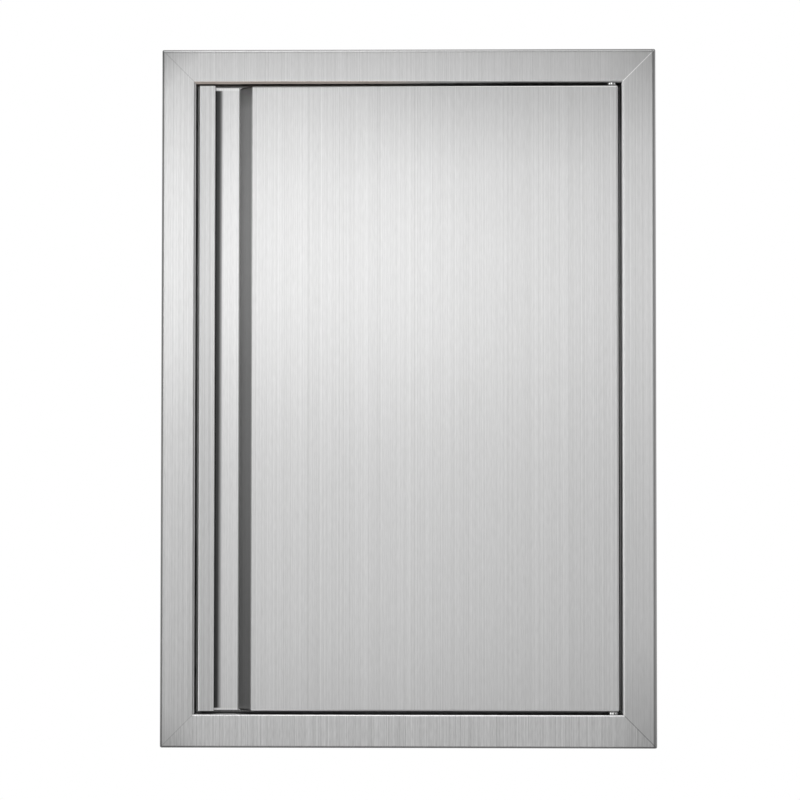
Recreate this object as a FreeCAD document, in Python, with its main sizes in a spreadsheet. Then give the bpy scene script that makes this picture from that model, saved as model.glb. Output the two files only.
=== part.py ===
import FreeCAD, Part
import Sketcher
import math
import os

# A flush access door for an outdoor kitchen island: a mitred frame folded from sheet steel,
# and one double-skinned door with a full-height finger pull, hung on two pivot pins.
# X runs to the right, Y runs into the island and Z runs up. The origin is the centre of the
# opening, on the face of the island that the frame lies against.

doc = FreeCAD.newDocument("AccessDoor")
Vector = FreeCAD.Vector
Constraint = Sketcher.Constraint

# Driving dimensions, in millimetres.
DIMENSIONS = {
    "frame_width": 431.8,
    "frame_height": 609.6,
    "frame_sheet": 1.0,
    "bar_width": 29.4,
    "edge_bend": 2.5,
    "fold_bend": 2.0,
    "corner_radius": 2.0,
    "flange_width": 10.0,
    "face_overlap": 38.1,
    "cutout_clearance": 1.5,
    "sleeve_depth": 32.0,
    "side_gap": 3.3,
    "end_gap": 2.6,
    "stop_gap": 2.0,
    "door_sheet": 1.0,
    "door_bend": 2.0,
    "pull_depth": 14.0,
    "lip_width": 14.2,
    "pull_opening": 20.7,
    "slope_run": 11.5,
    "hem_length": 7.0,
    "liner_sheet": 1.0,
    "liner_bend": 1.5,
    "liner_flange": 9.0,
    "liner_clearance": 0.15,
    "corner_relief": 30.0,
    "seat_clearance": 0.2,
    "stiffener_width": 56.0,
    "crown_width": 30.0,
    "stiffener_bend": 1.5,
    "stiffener_end": 24.0,
    "pivot_inset": 5.2,
    "pivot_depth": 6.5,
    "pin_radius": 2.0,
    "pin_engagement": 10.0,
    "thread_radius": 2.5,
    "running_clearance": 0.05,
    "washer_radius": 4.0,
    "bushing_wall": 1.0,
    "bushing_length": 10.0,
    "bushing_flange_radius": 3.8,
    "bushing_flange": 1.1,
    "bearing_play": 0.1,
    "block_height": 13.0,
    "block_reach": 14.0,
    "plate_thickness": 3.0,
    "plate_length": 26.0,
    "plate_margin": 8.0,
    "hexagon_width": 8.0,
    "lock_nut_height": 2.7,
    "pin_head_height": 3.5,
    "mount_hole_radius": 2.5,
    "mount_hole_depth": 18.0,
    "stile_hole_spacing": 400.0,
    "rail_hole_spacing": 220.0,
    "catch_height": 150.0,
    "housing_width": 13.0,
    "housing_length": 46.0,
    "housing_depth": 15.0,
    "ear_length": 9.0,
    "ear_thickness": 3.0,
    "ear_width": 10.0,
    "magnet_width": 6.0,
    "magnet_length": 24.0,
    "magnet_depth": 10.4,
    "pole_thickness": 1.2,
    "pole_length": 26.0,
    "pole_stand": 0.6,
    "strike_gap": 0.2,
    "pocket_clearance": 0.1,
    "rivet_radius": 1.6,
    "rivet_head_radius": 3.0,
    "rivet_head": 0.9,
    "rivet_tail_radius": 2.4,
    "rivet_tail": 1.0,
    "strike_width": 14.0,
    "strike_length": 50.0,
    "strike_corner": 2.0,
    "bumper_radius": 4.5,
    "bumper_height_place": 240.0,
}

HALF_SQUARE = 1 - math.sqrt(0.5)
HEXAGON_CORNER = 1 / math.sqrt(3)


class Length:
    """A length with its number now and the spreadsheet expression that drives it."""

    def __init__(self, number, text):
        self.number = number
        self.text = text

    def __add__(self, other):
        other = as_length(other)
        return Length(self.number + other.number, f"({self.text} + {other.text})")

    def __sub__(self, other):
        other = as_length(other)
        return Length(self.number - other.number, f"({self.text} - {other.text})")

    def __mul__(self, other):
        other = as_length(other)
        return Length(self.number * other.number, f"({self.text} * {other.text})")

    def __truediv__(self, other):
        other = as_length(other)
        return Length(self.number / other.number, f"({self.text} / {other.text})")

    def __radd__(self, other):
        return as_length(other) + self

    def __rsub__(self, other):
        return as_length(other) - self

    def __rmul__(self, other):
        return as_length(other) * self

    def __neg__(self):
        return Length(-self.number, f"(0 - {self.text})")


def as_length(value):
    if isinstance(value, Length):
        return value
    return Length(float(value), f"({float(value)!r})")


class Dimensions:
    """The spreadsheet, with each of its cells as an attribute."""

    def __init__(self, values):
        sheet = doc.addObject("Spreadsheet::Sheet", "Sizes")
        for row, (name, number) in enumerate(values.items(), start=1):
            sheet.set(f"A{row}", name)
            sheet.set(f"B{row}", str(number))
            sheet.setAlias(f"B{row}", name)
            setattr(self, name, Length(number, f"Sizes.{name}"))


d = Dimensions(DIMENSIONS)
doc.recompute()

# Places that several pieces share.
door_width = d.frame_width - 2 * d.bar_width - 2 * d.side_gap
door_height = d.frame_height - 2 * d.bar_width - 2 * d.end_gap
door_thickness = d.pull_depth + d.door_sheet + d.liner_sheet
frame_stand = door_thickness + d.stop_gap + d.frame_sheet
door_left = -door_width / 2
door_front = -frame_stand
door_back = door_thickness - frame_stand
door_top = door_height / 2
sleeve_outside = d.face_overlap + d.cutout_clearance
sleeve_inside = sleeve_outside + d.frame_sheet
ledge_front = -d.frame_sheet
opening_top = d.frame_height / 2 - d.bar_width
slope_foot = d.lip_width + d.pull_opening
slope_top = slope_foot + d.slope_run
liner_front = d.pull_depth + d.door_sheet
pivot_x = door_width / 2 - d.pivot_inset
pivot_y = door_front + d.pivot_depth
washer_thickness = d.end_gap - d.bushing_flange - d.bearing_play
bushing_radius = d.pin_radius + d.running_clearance + d.bushing_wall
catch_x = sleeve_inside - d.frame_width / 2 + d.housing_width / 2
strike_thickness = d.stop_gap - d.pole_stand - d.strike_gap
end_bend = 0.9 * (door_thickness - d.pull_depth)

pieces = []


def new_body(name, x=0, y=0, z=0, axis=None, angle=0):
    """Start a piece, with its own origin put at a place in the assembly."""
    body = doc.addObject("PartDesign::Body", name)
    body.Label = name
    body.AllowCompound = True
    turn = FreeCAD.Rotation(axis or Vector(0, 0, 1), angle)
    place = [as_length(value) for value in (x, y, z)]
    body.Placement = FreeCAD.Placement(Vector(*[value.number for value in place]), turn)
    for letter, value in zip("xyz", place):
        body.setExpression(f"Placement.Base.{letter}", value.text)
    pieces.append(body)
    return body


def origin_feature(body, role):
    return next(f for f in body.Origin.OriginFeatures if f.Role == role)


def new_sketch(body, role, offset=None):
    """A sketch on one of the body's own origin planes, or lifted off it along its normal."""
    sketch = body.newObject("Sketcher::SketchObject", f"{body.Label}_sketch")
    sketch.AttachmentSupport = (origin_feature(body, role), [""])
    sketch.MapMode = "FlatFace"
    if offset is not None:
        sketch.setExpression("AttachmentOffset.Base.z", offset.text)
    return sketch


def drive(sketch, kind, *places_and_length):
    """Add one dimension and tie it to the spreadsheet."""
    *places, length = places_and_length
    index = sketch.addConstraint(Constraint(kind, *places, length.number))
    sketch.setExpression(f"Constraints[{index}]", length.text)


def pin_point(sketch, shape, end, x, y):
    """Hold one point of a shape at x, y, measured from the sketch's origin."""
    drive(sketch, "DistanceX", -1, 1, shape, end, as_length(x))
    drive(sketch, "DistanceY", -1, 1, shape, end, as_length(y))


def circle(sketch, x, y, radius):
    x, y = as_length(x), as_length(y)
    round_shape = Part.Circle(Vector(x.number, y.number, 0), Vector(0, 0, 1), radius.number)
    shape = sketch.addGeometry(round_shape, False)
    pin_point(sketch, shape, 3, x, y)
    drive(sketch, "Radius", shape, radius)


def outline(sketch, corners):
    """Draw a closed outline through corners (x, y) or (x, y, radius), the last kind rounded."""
    spots = []
    for x, y, *rest in corners:
        radius = as_length(rest[0]) if rest else None
        spots.append((as_length(x), as_length(y), radius))
    points = [Vector(x.number, y.number, 0) for x, y, _ in spots]
    count = len(points)
    arriving, leaving, arcs = [], [], []
    for i, (_, _, radius) in enumerate(spots):
        here = points[i]
        if radius is None:
            arriving.append(here)
            leaving.append(here)
            arcs.append(None)
            continue
        back = (points[i - 1] - here).normalize()
        ahead = (points[(i + 1) % count] - here).normalize()
        half = back.getAngle(ahead) / 2
        reach = radius.number / math.tan(half)
        centre = here + (back + ahead).normalize() * (radius.number / math.sin(half))
        arriving.append(here + back * reach)
        leaving.append(here + ahead * reach)
        turns_left = back.cross(ahead).z < 0
        first, last = (arriving[i], leaving[i]) if turns_left else (leaving[i], arriving[i])
        start = math.atan2(first.y - centre.y, first.x - centre.x)
        stop = math.atan2(last.y - centre.y, last.x - centre.x)
        if stop < start:
            stop += 2 * math.pi
        ring = Part.Circle(centre, Vector(0, 0, 1), radius.number)
        shape = sketch.addGeometry(Part.ArcOfCircle(ring, start, stop), False)
        arcs.append((shape, 1 if turns_left else 2, 2 if turns_left else 1))
    lines = []
    for i in range(count):
        side = Part.LineSegment(leaving[i], arriving[(i + 1) % count])
        lines.append(sketch.addGeometry(side, False))
    for i, (x, y, radius) in enumerate(spots):
        line_in, line_out = lines[i - 1], lines[i]
        if radius is None:
            sketch.addConstraint(Constraint("Coincident", line_in, 2, line_out, 1))
            pin_point(sketch, line_out, 1, x, y)
            continue
        shape, entry, leave = arcs[i]
        corner = sketch.addGeometry(Part.Point(points[i]), True)
        sketch.addConstraint(
            [
                Constraint("Tangent", line_in, 2, shape, entry),
                Constraint("Tangent", shape, leave, line_out, 1),
                Constraint("PointOnObject", corner, 1, line_in),
                Constraint("PointOnObject", corner, 1, line_out),
            ]
        )
        pin_point(sketch, corner, 1, x, y)
        drive(sketch, "Radius", shape, radius)


def rectangle(sketch, x0, x1, y0, y1, radius=None):
    """A rectangle between two pairs of lengths, with its corners rounded if asked."""
    rest = [] if radius is None else [radius]
    outline(sketch, [(x0, y0, *rest), (x1, y0, *rest), (x1, y1, *rest), (x0, y1, *rest)])


def pad(body, sketch, length, symmetric=False, backwards=False):
    feature = body.newObject("PartDesign::Pad", f"{body.Label}_pad")
    feature.Profile = sketch
    feature.SideType = "Symmetric" if symmetric else "One side"
    feature.Reversed = backwards
    feature.setExpression("Length", length.text)
    doc.recompute()
    return feature


def pocket(body, sketch, length=None, symmetric=False, backwards=False):
    """Cut a sketch through the whole body, or to a length, and see that it did cut."""
    before = body.Shape.Volume
    feature = body.newObject("PartDesign::Pocket", f"{body.Label}_pocket")
    feature.Profile = sketch
    feature.SideType = "Symmetric" if symmetric else "One side"
    feature.Reversed = backwards
    if length is None:
        feature.Type = "ThroughAll"
    else:
        feature.setExpression("Length", length.text)
    doc.recompute()
    if body.Shape.Volume > before - 1e-3:
        raise RuntimeError(f"{feature.Label} cuts nothing")
    return feature


def revolve(body, sketch, axis_name):
    feature = body.newObject("PartDesign::Revolution", f"{body.Label}_turned")
    feature.Profile = sketch
    feature.ReferenceAxis = (sketch, [axis_name])
    feature.Angle = 360
    doc.recompute()
    return feature


def mirror(body, originals):
    """Repeat features on the other side of the body's own XY plane."""
    feature = body.newObject("PartDesign::Mirrored", f"{body.Label}_mirror")
    feature.Originals = originals
    feature.MirrorPlane = (origin_feature(body, "XY_Plane"), [""])
    body.Tip = feature
    doc.recompute()


def dress_edges(body, kind, size_name, base, size, wanted):
    """Round or bevel the edges of a feature that a test picks out."""
    edges = [f"Edge{i}" for i, edge in enumerate(base.Shape.Edges, start=1) if wanted(edge)]
    feature = body.newObject(kind, f"{body.Label}_edges")
    feature.Base = (base, edges)
    feature.setExpression(size_name, size.text)
    doc.recompute()
    return feature


def fillet(body, base, radius, wanted):
    return dress_edges(body, "PartDesign::Fillet", "Radius", base, radius, wanted)


def bevel(body, base, size, wanted):
    return dress_edges(body, "PartDesign::Chamfer", "Size", base, size, wanted)


def shell(body, base, thickness, opened):
    """Hollow a solid to a sheet, leaving open the faces that a test picks out."""
    faces = [f"Face{i}" for i, face in enumerate(base.Shape.Faces, start=1) if opened(face)]
    feature = body.newObject("PartDesign::Thickness", f"{body.Label}_shell")
    feature.Base = (base, faces)
    feature.setExpression("Value", thickness.text)
    feature.Reversed = True
    feature.Join = "Intersection"
    doc.recompute()
    return feature


def lies_at(shape, letter, length):
    """Whether a whole edge or face lies in one plane across an axis."""
    box = shape.BoundBox
    low, high = getattr(box, f"{letter}Min"), getattr(box, f"{letter}Max")
    return max(abs(low - length.number), abs(high - length.number)) < 1e-4


# The frame bars share one folded section. In a bar's own frame, X runs inward from the
# frame's outer edge, Y runs into the island and Z runs along the bar.


def bar_section(sketch):
    sheet = d.frame_sheet
    tight = d.fold_bend - sheet
    front = -frame_stand
    outline(
        sketch,
        [
            (d.flange_width, 0),
            (0, 0, d.fold_bend),
            (0, front, d.edge_bend),
            (d.bar_width, front, d.fold_bend),
            (d.bar_width, ledge_front, tight),
            (sleeve_inside, ledge_front, d.fold_bend),
            (sleeve_inside, d.sleeve_depth),
            (sleeve_outside, d.sleeve_depth),
            (sleeve_outside, 0, tight),
            (d.bar_width - sheet, 0, d.fold_bend),
            (d.bar_width - sheet, front + sheet, tight),
            (sheet, front + sheet, d.edge_bend - sheet),
            (sheet, ledge_front, tight),
            (d.flange_width, ledge_front),
        ],
    )


def mitre_outline(sketch, length, end):
    """The waste at one end of a bar: everything past the mitre, and the rounded outer corner."""
    radius = d.corner_radius
    spare = d.flange_width
    tip = length / 2
    reach = sleeve_inside + spare
    nick = HALF_SQUARE * radius
    corners = [
        (0, tip - radius),
        (-spare, tip - radius),
        (-spare, tip + spare),
        (reach, tip + spare),
        (reach, tip - reach),
        (nick, tip - nick),
    ]
    corners = [(as_length(x), end * y) for x, y in corners]
    points = [Vector(x.number, y.number, 0) for x, y in corners]
    lines = []
    for start, stop in zip(points, points[1:]):
        lines.append(sketch.addGeometry(Part.LineSegment(start, stop), False))
    centre_y = end * (tip - radius)
    centre = Vector(radius.number, centre_y.number, 0)
    ring = Part.Circle(centre, Vector(0, 0, 1), radius.number)
    quarter = math.pi / 4
    if end > 0:
        sweep = (math.pi - quarter, math.pi)
        first, last = 2, 1
    else:
        sweep = (math.pi, math.pi + quarter)
        first, last = 1, 2
    arc = sketch.addGeometry(Part.ArcOfCircle(ring, *sweep), False)
    for before, after in zip(lines, lines[1:]):
        sketch.addConstraint(Constraint("Coincident", before, 2, after, 1))
    sketch.addConstraint(Constraint("Coincident", lines[0], 1, arc, first))
    sketch.addConstraint(Constraint("Coincident", lines[-1], 2, arc, last))
    for line, (x, y) in zip(lines[1:], corners[1:]):
        pin_point(sketch, line, 1, x, y)
    pin_point(sketch, arc, 3, radius, centre_y)
    drive(sketch, "Radius", arc, radius)
    drive(sketch, "DistanceY", -1, 1, lines[0], 1, corners[0][1])
    drive(sketch, "DistanceX", -1, 1, lines[-1], 2, corners[-1][0])


def frame_bar(name, length, hole_spacing, x, z, angle):
    """One mitred bar with its two screw holes; it is turned about Y to its side of the frame."""
    bar = new_body(name, x=x, z=z, axis=Vector(0, 1, 0), angle=angle)
    section = new_sketch(bar, "XY_Plane")
    bar_section(section)
    pad(bar, section, length, symmetric=True)
    for end in (1, -1):
        mitre = new_sketch(bar, "XZ_Plane")
        mitre_outline(mitre, length, end)
        pocket(bar, mitre, symmetric=True)
    holes = new_sketch(bar, "YZ_Plane")
    for end in (1, -1):
        circle(holes, d.mount_hole_depth, end * hole_spacing / 2, d.mount_hole_radius)
    pocket(bar, holes, symmetric=True)
    return bar


def pin_hole(bar, along):
    """The hole that a pivot pin passes in the wall beside the door."""
    hole = new_sketch(bar, "YZ_Plane", offset=d.bar_width)
    circle(hole, pivot_y, along, d.thread_radius + d.running_clearance)
    pocket(bar, hole, length=2 * d.frame_sheet)


def rivet_holes(bar):
    holes = new_sketch(bar, "YZ_Plane")
    for height in rivet_heights():
        for end in (1, -1):
            circle(holes, rivet_y(), end * height, d.rivet_radius + d.running_clearance)
    pocket(bar, holes, symmetric=True)


def rivet_y():
    """The depth of the catch's rivets: the middle of its ears."""
    return ledge_front + d.housing_depth / 2


def rivet_heights():
    """How far the rivets of the upper catch stand above the door's middle."""
    reach = d.housing_length / 2 + d.ear_length / 2
    return d.catch_height - reach, d.catch_height + reach


def frame():
    half_width = d.frame_width / 2
    half_height = d.frame_height / 2
    left = frame_bar(
        "frame_stile_left", d.frame_height, d.stile_hole_spacing, -half_width, 0, 0
    )
    rivet_holes(left)
    frame_bar("frame_stile_right", d.frame_height, d.stile_hole_spacing, half_width, 0, 180)
    top = frame_bar("frame_rail_top", d.frame_width, d.rail_hole_spacing, 0, half_height, 90)
    pin_hole(top, pivot_x)
    bottom = frame_bar(
        "frame_rail_bottom", d.frame_width, d.rail_hole_spacing, 0, -half_height, -90
    )
    pin_hole(bottom, -pivot_x)


def pivot_plate(name, end):
    """A thick plate behind the rail's inner wall, threaded for the pivot pin."""
    plate = new_body(name, x=pivot_x, y=pivot_y)
    front = d.frame_sheet + d.fold_bend - d.pivot_depth
    back = frame_stand - d.frame_sheet - d.fold_bend - d.pivot_depth
    face = opening_top + d.frame_sheet
    sketch = new_sketch(plate, "XY_Plane", offset=end * face)
    rectangle(sketch, d.plate_margin - d.plate_length, d.plate_margin, front, back)
    circle(sketch, 0, 0, d.thread_radius + d.running_clearance)
    pad(plate, sketch, d.plate_thickness, backwards=end < 0)


def hexagon(sketch, width):
    """A regular hexagon of this width across its flats, about the sketch's origin."""
    corner = HEXAGON_CORNER * width
    half = width / 2
    outline(
        sketch,
        [
            (corner, 0),
            (corner / 2, half),
            (-corner / 2, half),
            (-corner, 0),
            (-corner / 2, -half),
            (corner / 2, -half),
        ],
    )


def hinge_pin(name, end):
    """A pivot pin: a plain tip in the door, a threaded shank in the frame and a hexagon head."""
    turned = 0 if end > 0 else 180
    pin = new_body(
        name, x=pivot_x, y=pivot_y, z=end * opening_top, axis=Vector(1, 0, 0), angle=turned
    )
    tip = -(d.end_gap + d.pin_engagement)
    head = d.frame_sheet + d.plate_thickness + d.lock_nut_height
    sketch = new_sketch(pin, "XZ_Plane")
    outline(
        sketch,
        [
            (0, tip),
            (d.pin_radius, tip),
            (d.pin_radius, 0),
            (d.thread_radius, 0),
            (d.thread_radius, head),
            (0, head),
        ],
    )
    revolve(pin, sketch, "V_Axis")
    top = new_sketch(pin, "XY_Plane", offset=head)
    hexagon(top, d.hexagon_width)
    pad(pin, top, d.pin_head_height)


def pin_lock_nuts():
    nuts = new_body("pin_lock_nuts", x=pivot_x, y=pivot_y)
    seat = opening_top + d.frame_sheet + d.plate_thickness
    sketch = new_sketch(nuts, "XY_Plane", offset=seat)
    hexagon(sketch, d.hexagon_width)
    circle(sketch, 0, 0, d.thread_radius + d.running_clearance)
    mirror(nuts, [pad(nuts, sketch, d.lock_nut_height)])


def hinge_washer(name, end):
    """A steel washer round the pin, against the rail."""
    turned = 0 if end > 0 else 180
    washer = new_body(
        name, x=pivot_x, y=pivot_y, z=end * opening_top, axis=Vector(1, 0, 0), angle=turned
    )
    bore = d.pin_radius + 2 * d.running_clearance
    sketch = new_sketch(washer, "XZ_Plane")
    rectangle(sketch, bore, d.washer_radius, -washer_thickness, 0)
    revolve(washer, sketch, "V_Axis")


# The latch side: two magnetic catches on the sleeve, and two rubber buttons on the ledge.


def catch_housing(name, end):
    """A moulded catch body with an ear at each end and a pocket for its magnet."""
    housing = new_body(
        name, x=sleeve_inside - d.frame_width / 2, y=ledge_front, z=end * d.catch_height
    )
    middle = d.housing_width / 2
    edge = d.ear_thickness / 2
    sketch = new_sketch(housing, "XY_Plane")
    outline(
        sketch,
        [
            (0, 0),
            (d.housing_width, 0, edge),
            (d.housing_width, d.housing_depth, edge),
            (0, d.housing_depth),
        ],
    )
    pad(housing, sketch, d.housing_length, symmetric=True)
    ears = new_sketch(housing, "YZ_Plane")
    reach = d.housing_length / 2 + d.ear_length
    depth = d.housing_depth / 2
    half = d.ear_width / 2
    rectangle(ears, depth - half, depth + half, -reach, reach)
    pad(housing, ears, d.ear_thickness)
    holes = new_sketch(housing, "YZ_Plane")
    for side in (1, -1):
        height = side * (d.housing_length / 2 + d.ear_length / 2)
        circle(holes, depth, height, d.rivet_radius + d.running_clearance)
    pocket(housing, holes, symmetric=True)
    opening = new_sketch(housing, "XZ_Plane")
    stack = d.magnet_width / 2 + d.pole_thickness + d.pocket_clearance
    tall = d.pole_length / 2 + d.pocket_clearance
    rectangle(opening, middle - stack, middle + stack, -tall, tall)
    pocket(housing, opening, length=pocket_depth())


def pocket_depth():
    return d.magnet_depth + d.pole_stand


def catch_magnets():
    magnets = new_body("catch_magnets", x=catch_x, y=ledge_front)
    sketch = new_sketch(magnets, "XY_Plane", offset=d.catch_height - d.magnet_length / 2)
    half = d.magnet_width / 2
    rectangle(sketch, -half, half, d.pole_stand, pocket_depth())
    mirror(magnets, [pad(magnets, sketch, d.magnet_length)])


def catch_pole_plates():
    """Two steel plates on each magnet; their front edges stand proud and pull on the strike."""
    poles = new_body("catch_pole_plates", x=catch_x, y=ledge_front)
    sketch = new_sketch(poles, "XY_Plane", offset=d.catch_height - d.pole_length / 2)
    inside = d.magnet_width / 2
    outside = inside + d.pole_thickness
    for side in (1, -1):
        rectangle(sketch, side * inside, side * outside, -d.pole_stand, pocket_depth())
    mirror(poles, [pad(poles, sketch, d.pole_length)])


def catch_rivets():
    """Rivets from each ear through the sleeve, with a low set head outside."""
    rivets = new_body("catch_rivets", x=sleeve_inside - d.frame_width / 2, y=rivet_y())
    tail = -d.frame_sheet - d.rivet_tail
    head = d.ear_thickness + d.rivet_head
    turned = []
    for height in rivet_heights():
        sketch = new_sketch(rivets, "XY_Plane", offset=height)
        outline(
            sketch,
            [
                (tail, 0),
                (tail, d.rivet_tail_radius),
                (-d.frame_sheet, d.rivet_tail_radius),
                (-d.frame_sheet, d.rivet_radius),
                (d.ear_thickness, d.rivet_radius),
                (d.ear_thickness, d.rivet_head_radius),
                (head, d.rivet_head_radius),
                (head, 0),
            ],
        )
        turned.append(revolve(rivets, sketch, "H_Axis"))
    mirror(rivets, turned)


def ledge_bumpers():
    """Rubber buttons that the closed door's back comes to rest on."""
    ledge_middle = (d.bar_width + d.fold_bend + sleeve_inside) / 2
    bumpers = new_body("ledge_bumpers", x=ledge_middle - d.frame_width / 2, y=ledge_front)
    height = d.stop_gap - d.seat_clearance
    sketch = new_sketch(bumpers, "XY_Plane", offset=d.bumper_height_place)
    outline(
        sketch,
        [
            (0, 0),
            (d.bumper_radius, 0),
            (d.bumper_radius, -height / 3),
            (0.75 * d.bumper_radius, -height),
            (0, -height),
        ],
    )
    mirror(bumpers, [revolve(bumpers, sketch, "V_Axis")])


# The door. In its own frame, X runs from its left edge, Y runs back from its front and Z
# runs up from its middle.


def new_door_body(name):
    return new_body(name, x=door_left, y=door_front)


def door_skin():
    """The outer sheet: a pan with its ends and right side folded back, and the finger pull."""
    skin = new_door_body("door_skin")
    sheet = d.door_sheet
    tight = d.door_bend - sheet
    pan = new_sketch(skin, "XY_Plane")
    outline(
        pan,
        [
            (d.door_bend, d.pull_depth),
            (slope_foot, d.pull_depth),
            (slope_top, 0),
            (door_width, 0),
            (door_width, door_thickness),
            (d.door_bend, door_thickness),
        ],
    )
    block = pad(skin, pan, door_height, symmetric=True)

    def folded_edge(edge):
        if lies_at(edge, "Z", door_top) or lies_at(edge, "Z", -door_top):
            cut = (("Y", door_thickness), ("Y", d.pull_depth), ("X", d.door_bend))
            return not any(lies_at(edge, letter, length) for letter, length in cut)
        if lies_at(edge, "Y", as_length(0)):
            return lies_at(edge, "X", slope_top) or lies_at(edge, "X", door_width)
        return False

    rounded = fillet(skin, block, end_bend, folded_edge)

    def open_face(face):
        return lies_at(face, "Y", door_thickness) or lies_at(face, "X", d.door_bend)

    shell(skin, rounded, sheet, open_face)

    pull = new_sketch(skin, "XY_Plane")
    hem_start = d.lip_width - d.hem_length
    joined = 2 * d.door_bend
    outline(
        pull,
        [
            (joined, d.pull_depth),
            (sheet, d.pull_depth, tight),
            (sheet, sheet, tight),
            (hem_start, sheet),
            (hem_start, 2 * sheet),
            (d.lip_width, 2 * sheet, 0.8 * sheet),
            (d.lip_width, 0, 0.8 * sheet),
            (0, 0, d.door_bend),
            (0, liner_front, d.door_bend),
            (joined, liner_front),
        ],
    )
    pad(skin, pull, door_height, symmetric=True)
    bores = new_sketch(skin, "XY_Plane")
    circle(
        bores, door_width - d.pivot_inset, d.pivot_depth, bushing_radius + d.running_clearance
    )
    pocket(skin, bores, symmetric=True)


def door_liner():
    """The inner sheet: a shallow tray nested in the skin's folded edges."""
    liner = new_door_body("door_liner")
    left = d.door_bend + d.seat_clearance
    right = door_width - d.door_sheet - d.liner_clearance
    top = door_top - d.door_sheet - d.liner_clearance
    front = door_thickness - d.liner_flange
    corner = 3 * d.liner_bend
    sketch = new_sketch(liner, "XZ_Plane", offset=-front)
    outline(
        sketch, [(left, -top), (right, -top, corner), (right, top, corner), (left, top)]
    )
    block = pad(liner, sketch, d.liner_flange, backwards=True)

    def back_edge(edge):
        return lies_at(edge, "Y", door_thickness) and not lies_at(edge, "X", left)

    rounded = fillet(liner, block, d.liner_bend, back_edge)

    def open_face(face):
        return lies_at(face, "Y", front) or lies_at(face, "X", left)

    shell(liner, rounded, d.liner_sheet, open_face)

    # The tray's folded edge stops short of the finger pull and of the two hinge corners.
    spare = d.door_bend
    relief = new_sketch(liner, "XZ_Plane", offset=-liner_front)
    fold_foot = top - d.corner_relief
    stop = slope_top + d.door_bend
    for end in (1, -1):
        rectangle(relief, left - spare, stop, end * fold_foot, end * (top + spare))
        rectangle(
            relief,
            right - d.corner_relief,
            right + spare,
            end * fold_foot,
            end * (top + spare),
        )
    pocket(liner, relief, backwards=True)
    notch = new_sketch(liner, "XZ_Plane")
    for end in (1, -1):
        rectangle(
            notch, left - spare, stop, end * (door_top - d.door_bend), end * (top + spare)
        )
    pocket(liner, notch, symmetric=True)


def door_stiffener():
    """A folded hat channel between the two sheets, in the middle of the door's face."""
    stiffener = new_door_body("door_stiffener")
    sheet = d.door_sheet
    middle = (slope_top + door_width) / 2
    near = sheet
    far = liner_front - d.seat_clearance
    flange, crown = d.stiffener_width / 2, d.crown_width / 2
    bend = d.stiffener_bend
    tight = bend - sheet
    half = [
        (flange, near),
        (flange, near + sheet),
        (crown, near + sheet, tight),
        (crown, far, bend),
    ]
    inner = [(crown - sheet, far - sheet, tight), (crown - sheet, near, bend)]

    def on_side(corners, side):
        return [(middle + side * x, *rest) for x, *rest in corners]

    sketch = new_sketch(stiffener, "XY_Plane")
    outline(
        sketch,
        on_side(half, 1)
        + on_side(half[::-1], -1)
        + on_side(inner[::-1], -1)
        + on_side(inner, 1),
    )
    pad(stiffener, sketch, door_height - 2 * d.stiffener_end, symmetric=True)


def hinge_block(name, end):
    """A solid block in the door's corner that carries the bushing."""
    block = new_door_body(name)
    pivot = door_width - d.pivot_inset
    right = door_width - d.door_sheet - d.seat_clearance
    seat = door_top - d.door_sheet
    sketch = new_sketch(block, "XY_Plane", offset=end * seat)
    back = liner_front - d.seat_clearance
    rectangle(sketch, pivot - d.block_reach, right, d.door_sheet, back)
    solid = pad(block, sketch, d.block_height, backwards=end > 0)

    def beside_fold(edge):
        if lies_at(edge, "X", right):
            return lies_at(edge, "Y", d.door_sheet) or lies_at(edge, "Z", end * seat)
        return lies_at(edge, "Y", d.door_sheet) and lies_at(edge, "Z", end * seat)

    bevel(block, solid, end_bend - d.door_sheet + d.seat_clearance, beside_fold)
    bore = new_sketch(block, "XY_Plane")
    circle(bore, pivot, d.pivot_depth, bushing_radius + d.running_clearance)
    pocket(block, bore, symmetric=True)


def hinge_bushing(name, end):
    """A flanged plastic bushing; its flange lies on the end of the door."""
    turned = 0 if end > 0 else 180
    bushing = new_body(
        name, x=pivot_x, y=pivot_y, z=end * door_top, axis=Vector(1, 0, 0), angle=turned
    )
    bore = d.pin_radius + d.running_clearance
    sketch = new_sketch(bushing, "XZ_Plane")
    outline(
        sketch,
        [
            (bore, -d.bushing_length),
            (bushing_radius, -d.bushing_length),
            (bushing_radius, 0),
            (d.bushing_flange_radius, 0),
            (d.bushing_flange_radius, d.bushing_flange),
            (bore, d.bushing_flange),
        ],
    )
    revolve(bushing, sketch, "V_Axis")


def strike_plate(name, end):
    """A steel plate welded to the door's back, facing a catch."""
    plate = new_body(name, x=catch_x, y=door_back, z=end * d.catch_height)
    half_width, half_length = d.strike_width / 2, d.strike_length / 2
    sketch = new_sketch(plate, "XZ_Plane")
    rectangle(sketch, -half_width, half_width, -half_length, half_length, d.strike_corner)
    pad(plate, sketch, strike_thickness, backwards=True)


frame()
for place, end in (("top", 1), ("bottom", -1)):
    pivot_plate(f"pivot_plate_{place}", end)
    hinge_pin(f"hinge_pin_{place}", end)
    hinge_washer(f"hinge_washer_{place}", end)
    hinge_block(f"hinge_block_{place}", end)
    hinge_bushing(f"hinge_bushing_{place}", end)
pin_lock_nuts()
for place, end in (("upper", 1), ("lower", -1)):
    catch_housing(f"catch_housing_{place}", end)
    strike_plate(f"strike_plate_{place}", end)
catch_magnets()
catch_pole_plates()
catch_rivets()
ledge_bumpers()
door_skin()
door_liner()
door_stiffener()

doc.recompute()
for item in doc.Objects:
    if "Invalid" in item.State or "Error" in item.State:
        raise RuntimeError(f"{item.Label} is {item.State}")
for piece in pieces:
    if piece.Shape.isNull() or not piece.Shape.isValid():
        raise RuntimeError(f"{piece.Label} has no valid shape")

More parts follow.
